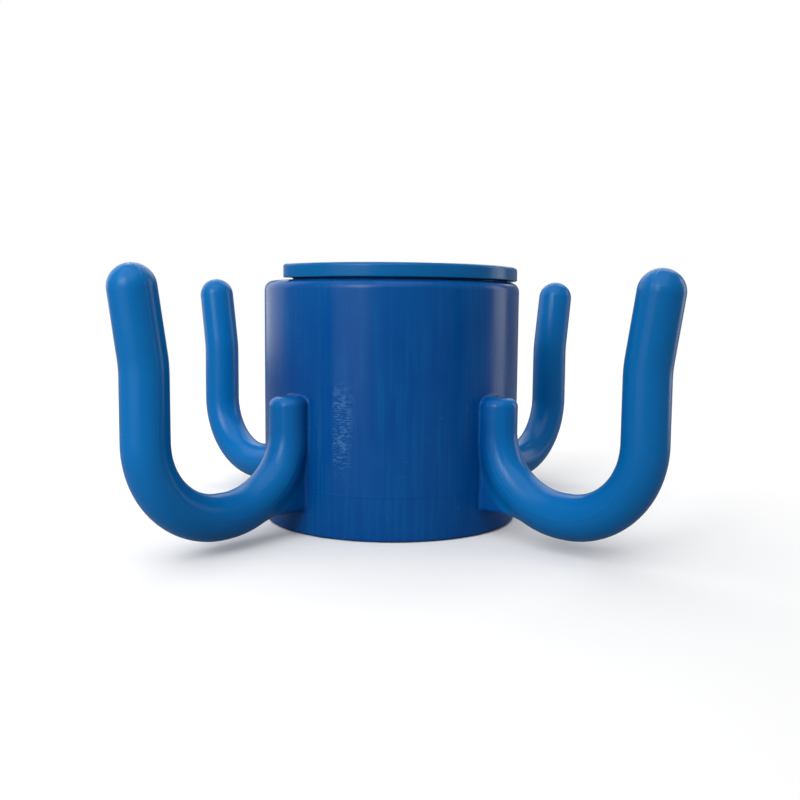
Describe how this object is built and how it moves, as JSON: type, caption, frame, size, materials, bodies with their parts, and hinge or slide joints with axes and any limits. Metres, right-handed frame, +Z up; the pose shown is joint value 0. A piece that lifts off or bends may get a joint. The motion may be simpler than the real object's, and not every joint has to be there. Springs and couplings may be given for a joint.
{
  "type": "umbrella pole hook collar",
  "caption": "Blue plastic collar with upturned hooks and a split grip sleeve that clamps it round an umbrella pole, for hanging towels and bags.",
  "frame": {"origin": "on the pole's axis, at the collar's bottom face, which is also the bottom centre of the whole object's box", "axes": "+Z up along the pole; the hooks point along -Y (front), +X (right), +Y (rear) and -X (left); the sleeve's slit faces between front and left"},
  "size_m": [0.1754, 0.1754, 0.0698],
  "materials": {
    "collar_plastic": "deep blue moulded polypropylene, glossy",
    "sleeve_plastic": "mid blue moulded polypropylene, glossy"
  },
  "bodies": {
    "hook_collar": {"collar": "collar_plastic", "hook_front": "collar_plastic", "hook_right": "collar_plastic", "hook_rear": "collar_plastic", "hook_left": "collar_plastic"},
    "sleeve": {"grip_sleeve": "sleeve_plastic"}
  },
  "joints": [
    {"name": "sleeve_lift", "type": "slide", "parent": "hook_collar", "child": "sleeve", "axis": [0, 0, 1], "range_m": [0, 0.07]}
  ]
}
